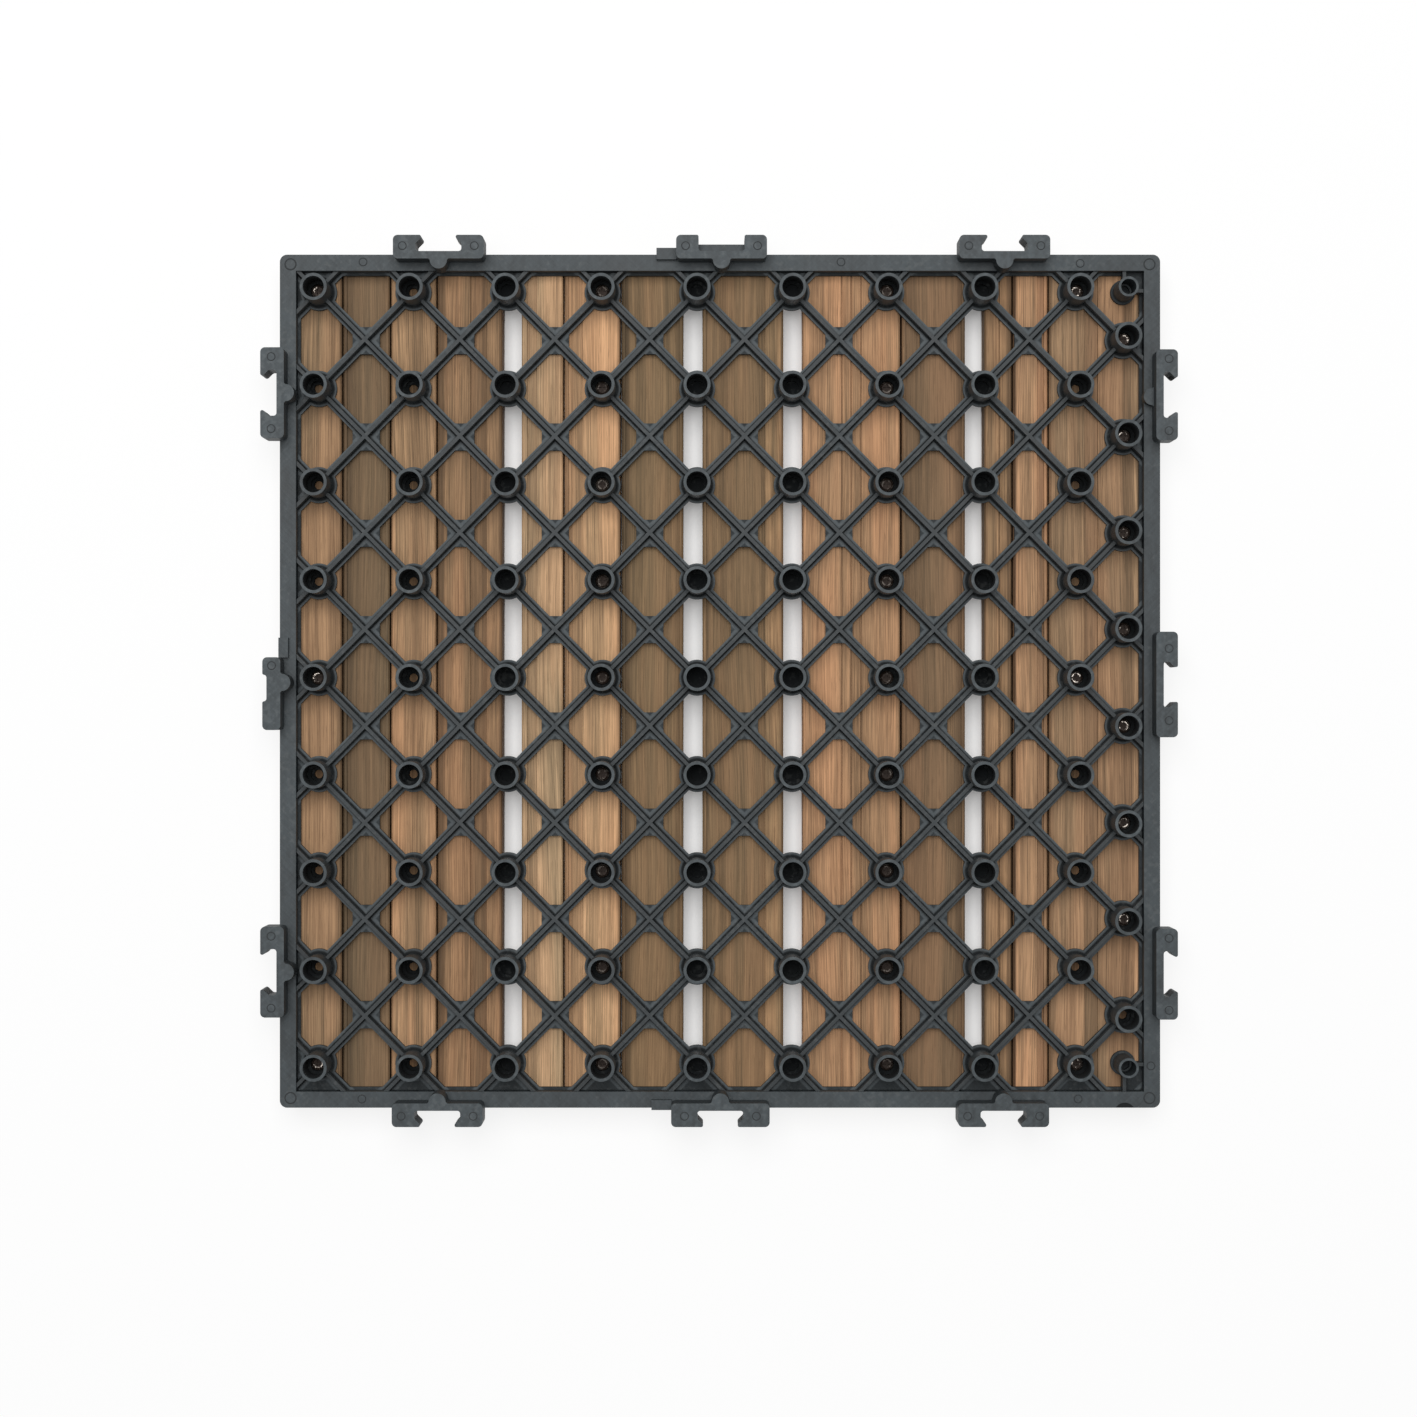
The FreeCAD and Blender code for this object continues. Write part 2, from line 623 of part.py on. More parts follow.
def make_slat(number):
    label = f"slat_{number:02d}"
    body = new_body(label)
    left, back = f"Layout.{label}_left", "Sizes.slat_thickness"
    right = f"{left} + Layout.{label}_width"
    corners = [
        (left, "Sizes.slat_walk_edge"),
        (f"{left} + Sizes.slat_walk_edge", "0"),
        (f"{right} - Sizes.slat_walk_edge", "0"),
        (right, "Sizes.slat_walk_edge"),
        (right, f"{back} - Sizes.slat_back_edge"),
        (f"{right} - Sizes.slat_back_edge", back),
    ]
    for start, end, depth in reversed(slat_relief(number)):
        corners += [(f"{left} + {end}", back), (f"{left} + {end}", f"{back} - {depth}"),
                    (f"{left} + {start}", f"{back} - {depth}"), (f"{left} + {start}", back)]
    corners += [(f"{left} + Sizes.slat_back_edge", back), (left, f"{back} - Sizes.slat_back_edge")]
    section = new_sketch(body, f"{label}_section", plane="XZ_Plane")
    add_outline(section, corners)
    board = add_feature(body, "Pad", f"{label}_board", section, "Layout.slat_length")
    board.Midplane = True
    holes = new_sketch(body, f"{label}_hole_sketch", back)
    if number in PEG_COLUMN:
        for row in FIXING_ROWS:
            y = f"Layout.first_y + {row} * Sizes.pitch_y - Layout.peg_{number:02d}_drop"
            add_circle(holes, f"Layout.peg_{number:02d}_x", y, "Sizes.peg_r + Sizes.fit_clearance")
        add_feature(body, "Pocket", f"{label}_peg_holes", holes, "Sizes.peg_length + Sizes.fit_clearance")
    else:
        for column, row in SCREW_POSTS:
            if column in SCREW_COLUMNS[number]:
                add_circle(holes, f"Layout.first_x + {column} * Sizes.pitch_x",
                           f"Layout.first_y + {row} * Sizes.pitch_y",
                           "Sizes.screw_shank_r + Sizes.fit_clearance")
        add_feature(body, "Pocket", f"{label}_pilot_holes", holes,
                    "Sizes.screw_length - Sizes.head_seat_rise + Sizes.fit_clearance")
    return body


# Screws: pan heads with a cross recess, down in the posts and on into the slats

def cross_points(half, arm):
    right = [(arm, f"-({half})"), (arm, half), (half, half), (half, arm)]
    left = [(f"-({half})", arm), (f"-({half})", half), (f"-({arm})", half), (f"-({arm})", f"-({half})")]
    return right + left + [(f"-({half})", f"-({half})"), (f"-({half})", f"-({arm})"),
                           (half, f"-({arm})"), (half, f"-({half})")]


def make_screws():
    form = new_body("screw_form")
    profile = new_sketch(form, "screw_profile", plane="XZ_Plane")
    depth, rise = "Sizes.screw_length", "Sizes.screw_head_rise"
    add_outline(profile, [
        ("0", f"-{depth}"),
        ("Sizes.screw_shank_r", f"-{depth} + Sizes.screw_point"),
        ("Sizes.screw_shank_r", "0"),
        ("Sizes.screw_head_r", "0"),
        ("Sizes.screw_head_r", f"{rise} / 2"),
        ("Sizes.screw_crown_r", rise),
        ("0", rise),
    ])
    blank = add_feature(form, "Revolution", "screw_blank", profile)
    blank.ReferenceAxis = (profile, ["V_Axis"])
    blank.Angle = 360
    recess = new_sketch(form, "screw_recess_sketch", rise)
    add_outline(recess, cross_points("Sizes.screw_slot / 2", "Sizes.screw_slot_length / 2"))
    add_feature(form, "Pocket", "screw_recess", recess, "Sizes.screw_slot_depth")
    links = []
    for number, (column, row) in enumerate(SCREW_POSTS, start=1):
        link = doc.addObject("App::Link", f"screw_{number:02d}")
        link.LinkedObject = form
        link.setExpression("LinkPlacement.Base.x", f"Layout.first_x + {column} * Sizes.pitch_x")
        link.setExpression("LinkPlacement.Base.y", f"Layout.first_y + {row} * Sizes.pitch_y")
        link.setExpression("LinkPlacement.Base.z", "Layout.head_seat")
        links.append(link)
    screws = doc.addObject("Part::Compound", "screws")
    screws.Label = "screws"
    screws.Links = links
    return screws


sheet = make_sheet()
layout = make_layout()
slat_numbers = [number for _, numbers, _ in SLAT_GROUPS for number in numbers]
parts = [make_slat(number) for number in slat_numbers] + [make_screws()]
doc.recompute()
parts.append(make_base_grid())

for item in doc.Objects:
    if "Invalid" in item.State or "Error" in item.State:
        raise RuntimeError(f"{item.Label} failed: {item.State}")
for part in parts:
    if part.Shape.isNull() or not part.Shape.isValid():
        raise RuntimeError(f"{part.Label} has no valid shape")

os.makedirs("parts", exist_ok=True)
for part in parts:
    part.Shape.exportStep(f"parts/{part.Label}.step")
    box = part.Shape.BoundBox
    print(part.Label, len(part.Shape.Solids), "solids,", round(part.Shape.Volume), "mm3,",
          f"x {box.XMin:.2f} to {box.XMax:.2f}, y {box.YMin:.2f} to {box.YMax:.2f},"
          f" z {box.ZMin:.2f} to {box.ZMax:.2f}")
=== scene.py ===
"""Looks of an interlocking deck tile: wood slats on a charcoal moulded base, lying face down.

Sizes in the materials are millimetres, on coordinates that start at the middle of the tile. The tile
itself, like all of the scene, is in metres.
"""

import math
import random

import bpy
from bpy.props import FloatProperty, FloatVectorProperty, PointerProperty
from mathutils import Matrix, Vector


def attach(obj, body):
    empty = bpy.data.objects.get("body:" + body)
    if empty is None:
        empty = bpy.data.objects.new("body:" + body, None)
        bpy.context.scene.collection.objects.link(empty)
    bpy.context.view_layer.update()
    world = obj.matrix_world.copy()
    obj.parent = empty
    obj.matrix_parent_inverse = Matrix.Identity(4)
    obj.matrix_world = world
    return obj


bl_info = {
    "name": "Interlocking deck tile",
    "version": (1, 0, 0),
    "blender": (4, 5, 0),
    "location": "View3D > Sidebar > Deck Tile",
    "description": "Wood, moulded plastic and steel finishes for a deck tile, with its moulding marks and stage",
    "category": "Object",
}

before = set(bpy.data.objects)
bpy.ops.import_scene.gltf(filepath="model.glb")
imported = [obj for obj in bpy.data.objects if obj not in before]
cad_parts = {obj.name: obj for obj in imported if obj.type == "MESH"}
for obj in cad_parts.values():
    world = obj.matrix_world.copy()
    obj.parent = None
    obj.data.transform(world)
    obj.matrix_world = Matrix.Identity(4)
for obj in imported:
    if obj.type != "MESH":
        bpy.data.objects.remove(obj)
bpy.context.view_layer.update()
MM = 0.001

# Levels and spacings of the CAD model that the finishes and marks follow, in millimetres
BAND_TOP = 16.0
CLIP_TOP = 24.0
SLAT_BACK = 10.0
FLANGE_TOP = 11.6
RIB_TOP = 15.0
WEB_HALF = 0.6
FLANGE_HALF = 1.85
POST_RADIUS = 4.6
COLLAR_RADIUS = 6.2
FIRST_POST = (-137.91, -131.24)
POST_PITCH = (32.52, 33.12)
LAST_COLUMN = FIRST_POST[0] + 8.5 * POST_PITCH[0]
HALF_TILE = (150.55, 145.9)
GAPS = (-71.62, -9.33, 25.19, 87.78)
GAP_WIDTH = 6.7
BORE_RADIUS = 3.6

# Darker and paler bands that run along the slats: middle, half width, and brightness beside the rest. Some are the
# wood's own tone; the dark ones beside the joints between slats are painted shade, and the narrow pale one near
# the rim at 143.2 is a painted highlight.
BANDS_AND_PAINTED_SHADE = ((-128.6, 2.4, 0.75), (-124.8, 1.2, 0.93), (-113.8, 1.2, 0.86), (-110.9, 2.6, 1.06),
         (-104.3, 2.2, 0.9), (-96.2, 1.6, 0.72), (-81.2, 1.0, 0.85), (-75.3, 0.9, 0.75), (-53.0, 0.9, 0.72),
         (-51.0, 0.4, 0.82), (-33.0, 2.4, 0.66), (-13.2, 2.4, 0.78), (-5.4, 1.8, 0.88), (1.2, 1.4, 0.92),
         (15.0, 0.8, 0.88), (21.5, 0.6, 0.76), (29.6, 1.2, 1.06), (63.4, 1.2, 0.87), (66.2, 2.2, 0.93),
         (83.2, 2.0, 0.8), (91.2, 0.6, 0.82), (99.9, 1.2, 0.74), (101.4, 0.7, 0.5), (111.2, 1.4, 0.88),
         (113.6, 1.0, 0.85), (137.4, 3.2, 0.92), (140.6, 2.0, 0.86), (143.2, 0.6, 1.14), (144.8, 0.8, 0.75))

# How a change on the screen compares with the same change in light
SCREEN_POWER = 2.3

# How strongly the fine lines, the streaks and the broadest bands of the grain show
GRAIN_SHARES = (3.1, 1.6, 1.0)

# The darkest and palest of the grain, and the two tints that drift over the wood, beside a slat's own colour
GRAIN_LEVELS = (0.28, 1.76)
COOL_TINT = (0.84, 0.97, 0.92)
WARM_TINT = (1.22, 0.94, 0.74)

# How far south of the ribs the painted shadow of the ribs falls on the slats under them
RIB_SHADOW_SOUTH = 1.6

# The flow lines of the plastic run along and across the ribs
RIB_ANGLE = math.radians(45)

# The world's strength as light on the tile
AMBIENT = 0.16


def linear(red, green, blue):
    """A screen colour of 0 to 255 as the shader's linear colour."""
    levels = [level / 255 for level in (red, green, blue)]
    return tuple(v / 12.92 if v <= 0.04045 else ((v + 0.055) / 1.055) ** 2.4 for v in levels)


def tone(name, red, green, blue):
    """A colour that the user can change."""
    return FloatVectorProperty(name=name, description=f"Mean colour of the {name.lower()}", subtype="COLOR",
                               size=3, min=0, max=1, default=linear(red, green, blue))


def length(name, description, value):
    return FloatProperty(name=name, description=description, default=value * MM, min=0, unit="LENGTH",
                         precision=5)


class DeckTileSlatTones(bpy.types.PropertyGroup):
    """The mean colour of each slat's back, from the -X side of the tile to the +X side."""
    slat_01: tone("Slat 1", 150, 121, 92)
    slat_02: tone("Slat 2", 137, 113, 86)
    slat_03: tone("Slat 3", 175, 138, 104)
    slat_04: tone("Slat 4", 156, 122, 91)
    slat_05: tone("Slat 5", 185, 153, 119)
    slat_06: tone("Slat 6", 197, 157, 119)
    slat_07: tone("Slat 7", 151, 123, 91)
    slat_08: tone("Slat 8", 154, 124, 92)
    slat_09: tone("Slat 9", 177, 137, 103)
    slat_10: tone("Slat 10", 149, 119, 90)
    slat_11: tone("Slat 11", 156, 125, 94)
    slat_12: tone("Slat 12", 186, 144, 109)
    slat_13: tone("Slat 13", 160, 128, 98)


class DeckTileWood(bpy.types.PropertyGroup):
    """How the slats' wood looks, whatever the colour of the slat."""
    line_width: length("Grain line width", "Width of the finest grain lines", 0.38)
    streak_width: length("Streak width", "Width of the broader streaks of early and late wood", 3.0)
    wander: length("Grain wander", "How far the grain drifts sideways along a slat", 2.2)
    line_depth: length("Grain depth", "Depth of the raised grain", 0.06)
    contrast: FloatProperty(name="Grain contrast", description="Strength of the light and dark grain lines",
                            default=0.62, min=0, max=1, subtype="FACTOR")


class DeckTilePlastic(bpy.types.PropertyGroup):
    """How the moulded base looks."""
    colour: tone("Plastic", 55, 61, 64)
    dust: tone("Dust", 128, 130, 129)
    grain_size: length("Surface grain", "Size of the fine texture that the mould leaves", 0.35)
    grain_depth: length("Surface grain depth", "Depth of the fine texture that the mould leaves", 0.012)
    mark_radius: length("Pin mark radius", "Radius of the round marks of the mould's ejector pins", 1.5)
    mark_height: length("Pin mark height", "Thickness of the pads that the round marks are", 0.3)
    mark_outline: length("Pin mark outline", "Width of the dark outline round a mark", 0.32)
    corner_growth: FloatProperty(name="Corner marks", description="How much larger the corners' marks are",
                                 default=1.4, min=0.1)


class DeckTileSteel(bpy.types.PropertyGroup):
    """How the screws look."""
    colour: tone("Screw steel", 205, 196, 186)
    stain: tone("Steel stain", 62, 50, 43)
    roughness: FloatProperty(name="Roughness", description="Roughness of the bright steel", default=0.42,
                             min=0, max=1, subtype="FACTOR")


class DeckTileStage(bpy.types.PropertyGroup):
    """The floor, the lights and the camera."""
    camera_height: length("Camera height", "Height of the camera above the floor", 874.0)
    camera_x: FloatProperty(name="Camera X", description="Place of the camera across the slats",
                            default=-3.93 * MM, unit="LENGTH", precision=5)
    camera_y: FloatProperty(name="Camera Y", description="Place of the camera along the slats",
                            default=-9.34 * MM, unit="LENGTH", precision=5)
    lens: FloatProperty(name="Lens", description="Focal length of the camera, in millimetres", default=63.727,
                        min=1)
    floor_width: length("Floor width", "Width and depth of the floor", 6000.0)


class DeckTileSettings(bpy.types.PropertyGroup):
    """All that the panel shows."""
    slats: PointerProperty(type=DeckTileSlatTones)
    wood: PointerProperty(type=DeckTileWood)
    plastic: PointerProperty(type=DeckTilePlastic)
    steel: PointerProperty(type=DeckTileSteel)
    stage: PointerProperty(type=DeckTileStage)


# Shaders

class Signal:
    """An output of a shader node. Arithmetic on it adds Math nodes."""

    def __init__(self, tree, socket):
        self.tree = tree
        self.socket = socket

    def maths(self, operation, first, second):
        return self.tree.node("Math", {0: first, 1: second}, operation=operation)

    def __add__(self, other):
        return self.maths("ADD", self, other)

    def __sub__(self, other):
        return self.maths("SUBTRACT", self, other)

    def __rsub__(self, other):
        return self.maths("SUBTRACT", other, self)

    def __mul__(self, other):
        return self.maths("MULTIPLY", self, other)

    def __truediv__(self, other):
        return self.maths("DIVIDE", self, other)

    def __pow__(self, other):
        return self.maths("POWER", self, other)

    def least(self, other):
        return self.maths("MINIMUM", self, other)

    def most(self, other):
        return self.maths("MAXIMUM", self, other)

    def off(self, value):
        """How far it is from a value."""
        return self.maths("ABSOLUTE", self - value, 0)

    def to_whole(self):
        """How far it is from the nearest whole number."""
        return self.maths("PINGPONG", self, 0.5)

    __radd__ = __add__
    __rmul__ = __mul__


class Nodes:
    """A node tree that shaders are added to."""

    def __init__(self, tree):
        self.tree = tree

    def node(self, kind, values, output=0, **settings):
        """Adds a node with its settings, then its values or the links to its inputs."""
        node = self.tree.nodes.new(f"ShaderNode{kind}")
        for name, value in settings.items():
            setattr(node, name, value)
        for name, value in values.items():
            self.feed(node.inputs[name], value)
        return Signal(self, node.outputs[output])

    def feed(self, socket, value):
        if isinstance(value, Signal):
            self.tree.links.new(value.socket, socket)
        elif socket.type == "RGBA":
            socket.default_value = (*value, 1)
        else:
            socket.default_value = value

    def step(self, value, low, high):
        """Nought below low, one above high, and smooth between."""
        return self.node("MapRange", {0: value, 1: low, 2: high}, interpolation_type="SMOOTHSTEP")

    def mix(self, share, first, second, blend="MIX"):
        return self.node("Mix", {0: share, 6: first, 7: second}, output=2, data_type="RGBA", blend_type=blend)

    def seen(self):
        """One for the rays that show the stage itself: in the picture, in a gloss or through glass."""
        path = self.tree.nodes.new("ShaderNodeLightPath")
        camera, glossy, through = (Signal(self, path.outputs[f"Is {ray} Ray"])
                                   for ray in ("Camera", "Glossy", "Transmission"))
        return camera.most(glossy).most(through)


class Finish(Nodes):
    """A material, built on millimetres from the middle of the tile."""

    def __init__(self, name, **constants):
        self.material = bpy.data.materials.new(name)
        self.material.use_nodes = True
        super().__init__(self.material.node_tree)
        self.shader = self.tree.nodes["Principled BSDF"]
        for socket, value in constants.items():
            self.shader.inputs[socket.replace("_", " ")].default_value = value
        metres = self.node("TexCoord", {}, output="Object")
        self.place = self.node("VectorMath", {0: metres, 3: 1 / MM}, operation="SCALE")
        self.across, self.along, self.up = self.axes(self.place)

    def give(self, **inputs):
        """Feeds the shader's inputs that change over the surface."""
        for name, value in inputs.items():
            self.feed(self.shader.inputs[name.replace("_", " ")], value)

    def stretched(self, scale, shift=(0, 0, 0), start=None):
        """The place with each axis scaled and shifted."""
        return self.node("Mapping", {"Vector": start or self.place, "Location": shift, "Scale": scale})

    def noise(self, place, scale=1.0, detail=2.0, roughness=0.5):
        return self.node("TexNoise", {"Vector": place, "Scale": scale, "Detail": detail,
                                      "Roughness": roughness})

    def axes(self, vector):
        parts = self.tree.nodes.new("ShaderNodeSeparateXYZ")
        self.tree.links.new(vector.socket, parts.inputs[0])
        return [Signal(self, output) for output in parts.outputs]

    def facing_up(self):
        """One on level faces, nought on upright ones."""
        return self.step(self.axes(self.node("NewGeometry", {}, output="Normal"))[2], 0.3, 0.8)

    def bump(self, height, depth, normal=None):
        """A bump of this depth in metres, over another one if there is one."""
        values = {"Height": height, "Distance": depth, "Strength": 1.0}
        if normal:
            values["Normal"] = normal
        return self.node("Bump", values)


def shade(colour, factor):
    return tuple(min(1, level * factor) for level in colour)


def reach(offsets):
    """The distance that offsets in steps along both axes make."""
    parts = [(offset * pitch) ** 2 for offset, pitch in zip(offsets, POST_PITCH)]
    return (parts[0] + parts[1]) ** 0.5


def posts_and_ribs(finish, south=0.0):
    """How far each place is from the middle line of the nearest rib, and from that of the nearest post.

    The posts of the last column stand half a step on.
    """
    steps = [(finish.across - FIRST_POST[0]) / POST_PITCH[0],
             (finish.along + south - FIRST_POST[1]) / POST_PITCH[1]]
    spread = math.prod(POST_PITCH) / math.hypot(*POST_PITCH)
    rib = (steps[0] + steps[1]).to_whole().least((steps[0] - steps[1]).to_whole()) * spread
    offsets = [part.to_whole() for part in steps]
    elsewhere = (1 - finish.step(finish.across, LAST_COLUMN - 8.0, LAST_COLUMN - 7.0)) * POST_PITCH[0]
    return rib, reach(offsets).least(reach([0.5 - offset for offset in offsets]) + elsewhere)


def wood_finish(name, colour, wood, seed, bands):
    """Dry straight-grained wood with fine lines, dark veins, raised grain, saw marks and milled channels. Painted
    shade beside the joints, south of the ribs and below the back face, and a painted highlight by the rim.
    """
    finish = Finish(name, Roughness=0.7, Specular_IOR_Level=0.25)
    turn = random.Random(seed)
    shift = (turn.uniform(-400, 400), turn.uniform(-400, 400), turn.uniform(-400, 400))
    drift = finish.noise(finish.stretched((0.02, 0.006, 0.02), shift), detail=1.0) - 0.5
    grained = finish.node("CombineXYZ", {0: finish.across + drift * (wood.wander / MM * 4), 1: finish.along,
                                         2: finish.up})
    fine, broad = MM / wood.line_width, MM / wood.streak_width

    def grain(across, along, detail=2.0, roughness=0.5):
        return finish.noise(finish.stretched((across, along, across), shift, grained), detail=detail,
                            roughness=roughness)

    lines = grain(fine, 0.012 * fine, 3.0, 0.65)
    streaks = grain(broad, 0.01 * broad, 3.0)
    broader = grain(0.07, 0.008)
    veins = 1 - finish.step(grain(0.30, 0.0035).off(0.5), 0.004, 0.022)
    light = 0.5
    for part, share in zip((lines, streaks, broader), GRAIN_SHARES):
        light = light + (part - 0.5) * (wood.contrast * share)
    body = finish.mix(light, *(shade(colour, level) for level in GRAIN_LEVELS))
    tint = finish.step(streaks * 0.3 + broader * 0.7, 0.4, 0.6)
    cool, warm = (tuple(a * b for a, b in zip(colour, part)) for part in (COOL_TINT, WARM_TINT))
    body = finish.mix(0.25, body, finish.mix(tint, cool, warm))
    pores = finish.step(grain(3.0, 0.14, 1.0), 0.62, 0.72)
    body = finish.mix(pores * 0.3 + veins * 0.26, body, shade(colour, 0.36))
    # Tone bands of the wood, with painted shade beside the joints and a painted highlight near the rim
    for middle, half, brightness in bands:
        band = 1 - finish.step(finish.across.off(middle), half * 0.4, half * 1.3)
        body = finish.mix(band, body, (brightness ** SCREEN_POWER,) * 3, "MULTIPLY")
    # Painted shadow of the ribs on the slats' backs, shifted south, away from the key light
    painted_rib_shadow = 1 - finish.step(posts_and_ribs(finish, RIB_SHADOW_SOUTH)[0], 2.0, 6.5)
    body = finish.mix(painted_rib_shadow * finish.step(finish.up, SLAT_BACK - 1.5, SLAT_BACK - 0.2) * 0.3, body,
                      shade(colour, 0.3))
    # Painted shade on the slats' sides and channel floors, below the back face, but not on the walking face
    recess_shade = 1 - finish.step(finish.up, SLAT_BACK - 0.5, SLAT_BACK - 0.1)
    body = finish.mix(recess_shade * finish.step(finish.up, 1.0, 2.0) * 0.4, body, shade(colour, 0.42))
    saw = finish.node("TexWave", {"Vector": finish.place, "Scale": 0.035, "Distortion": 1.5, "Detail": 2.0,
                                  "Detail Scale": 0.4}, output=1, bands_direction="Y")
    relief = lines * 0.7 + streaks * 0.8 - pores * 0.5 - veins * 0.4 + saw * 0.2
    finish.give(Base_Color=body, Roughness=0.6 + lines * 0.24, Normal=finish.bump(relief, wood.line_depth))
    return finish.material


def rib_tones(finish):
    """Painted shade in bores, on gussets, and beside ribs and posts. Then a painted highlight on the flanges'
    outer edges.
    """
    rib, post = posts_and_ribs(finish)
    low = 1 - finish.step(finish.up, FLANGE_TOP + 0.1, FLANGE_TOP + 0.6)
    beside = (1 - finish.step(rib, WEB_HALF + 0.2, WEB_HALF + 0.75)).most(
        1 - finish.step(post, POST_RADIUS + 0.5, POST_RADIUS + 1.3))
    bore = (1 - finish.step(post, BORE_RADIUS, BORE_RADIUS + 0.1)) * (
        1 - finish.step(finish.up, CLIP_TOP - 3.0, CLIP_TOP - 0.5))
    brink = finish.step(rib, FLANGE_HALF - 0.65, FLANGE_HALF - 0.25) * (
        1 - finish.step(rib, FLANGE_HALF + 0.35, FLANGE_HALF + 0.75))
    painted_edge_highlight = low * brink * finish.step(post, COLLAR_RADIUS - 0.2, COLLAR_RADIUS + 0.4)
    beyond = finish.step(rib, FLANGE_HALF + 0.15, FLANGE_HALF + 0.85)
    gussets = low * beyond * finish.step(post, COLLAR_RADIUS - 0.2, COLLAR_RADIUS + 0.2) * 0.5
    return (beside * low).most(bore).most(gussets), painted_edge_highlight


def plastic_finish(name, plastic):
    """Charcoal moulded plastic: fine mould texture, cloudy tone, flow lines, pale rubbed tops, some dust. Painted
    shade on upright faces, in bores, on gussets and beside ribs and posts, and a painted highlight on the flanges'
    outer edges.
    """
    finish = Finish(name, Specular_IOR_Level=0.32)
    cloud = finish.noise(finish.place, scale=0.035, detail=3.0)
    flow = finish.noise(finish.stretched((0.5, 0.09, 0.3)), detail=2.0)
    tilted = finish.node("VectorRotate", {"Vector": finish.place, "Axis": (0, 0, 1), "Angle": RIB_ANGLE},
                         rotation_type="AXIS_ANGLE")
    drawn = finish.noise(finish.stretched((1.1, 0.12, 0.4), start=tilted), detail=2.0)
    crossed = finish.noise(finish.stretched((0.12, 1.1, 0.4), start=tilted), detail=2.0)
    texture = finish.noise(finish.place, scale=MM / plastic.grain_size, detail=2.0)
    speck = finish.noise(finish.place, scale=0.55, detail=2.0)
    light = 0.5 + (cloud - 0.5) * 1.5 + (flow - 0.5) * 0.8 + (drawn + crossed - 1.0) * 0.6
    body = finish.mix(light, shade(plastic.colour, 0.55), shade(plastic.colour, 1.5))
    level = finish.facing_up()
    # Painted shade: upright faces darker than level ones
    body = finish.mix((1 - level) * 0.45, body, shade(plastic.colour, 0.4))
    painted_shade, painted_edge_highlight = rib_tones(finish)
    # Painted shade in bores, on gussets and beside ribs and posts
    body = finish.mix(painted_shade * 0.85, body, shade(plastic.colour, 0.08))
    # Painted highlight along the flanges' outer edges, on level faces
    body = finish.mix(painted_edge_highlight * level * 0.5, body, shade(plastic.colour, 2.0))
    ribs = finish.step(finish.up, RIB_TOP - 1.0, RIB_TOP - 0.4) * (
        1 - finish.step(finish.up, RIB_TOP + 0.2, RIB_TOP + 0.5))
    body = finish.mix(ribs * level * 0.55, body, shade(plastic.colour, 0.28))
    rubbed = finish.step(finish.up, CLIP_TOP - 0.3, CLIP_TOP - 0.05) * finish.step(speck + flow * 0.5, 0.6, 0.95)
    body = finish.mix(rubbed * 0.35, body, shade(plastic.colour, 2.1))
    settled = level * finish.step(speck + cloud * 0.6, 0.84, 1.05)
    body = finish.mix(settled * 0.12, body, tuple(plastic.dust))
    fine = finish.bump(texture, plastic.grain_depth)
    finish.give(Base_Color=body, Roughness=0.40 + cloud * 0.2 + texture * 0.1 + painted_shade * 0.4,
                Normal=finish.bump(drawn + crossed + flow, 0.06 * MM, fine))
    return finish.material


def steel_finish(name, steel):
    """Stained steel, brown and dull but for bright crescents where the coating is whole."""
    finish = Finish(name)
    out = posts_and_ribs(finish)[1]
    wear = finish.noise(finish.place, scale=0.55, detail=2.0)
    fine = finish.noise(finish.place, scale=2.2, detail=2.0)
    whole = finish.step(wear + (fine - 0.5) * 0.3, 0.5, 0.6) * finish.step(out, 1.0, 1.4)
    outer = finish.step(finish.across.off(0), 90.0, 125.0)
    bright = whole * (0.3 + outer * 0.7)
    body = finish.mix(bright, tuple(steel.stain), tuple(steel.colour))
    finish.give(Base_Color=body, Metallic=0.35 + bright * 0.65, Roughness=steel.roughness + (1 - bright) * 0.25,
                Normal=finish.bump(fine, 0.015 * MM))
    return finish.material


# Modelling

def deselect():
    if bpy.context.object and bpy.context.object.mode != "OBJECT":
        bpy.ops.object.mode_set(mode="OBJECT")
    bpy.ops.object.select_all(action="DESELECT")


def dress(node, material):
    """Puts a material in every slot of a node of the frame."""
    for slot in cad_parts[node].material_slots:
        slot.material = material


def settle(piece, name, material):
    """Names a finished piece, sets its place into its mesh and lets it ride on the tile."""
    deselect()
    piece.select_set(True)
    bpy.context.view_layer.objects.active = piece
    bpy.ops.object.transform_apply(location=True, rotation=True, scale=True)
    piece.name = name
    piece.data.name = name
    piece.data.materials.clear()
    piece.data.materials.append(material)
    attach(piece, "root")


def low_pad(radius, height):
    """A low round pad with a rounded-off edge, closed below."""
    deselect()
    bpy.ops.mesh.primitive_cylinder_add(vertices=28, radius=radius, depth=height, location=(0, 0, 0))
    pad = bpy.context.object
    bpy.ops.object.mode_set(mode="EDIT")
    bpy.ops.mesh.select_mode(type="FACE")
    bpy.ops.mesh.select_all(action="DESELECT")
    bpy.ops.object.mode_set(mode="OBJECT")
    for face in pad.data.polygons:
        face.select = face.normal.z > 0.9
    bpy.ops.object.mode_set(mode="EDIT")
    bpy.ops.mesh.inset(thickness=height * 0.2)
    bpy.ops.transform.translate(value=(0, 0, height * 0.1))
    bpy.ops.object.mode_set(mode="OBJECT")
    return pad


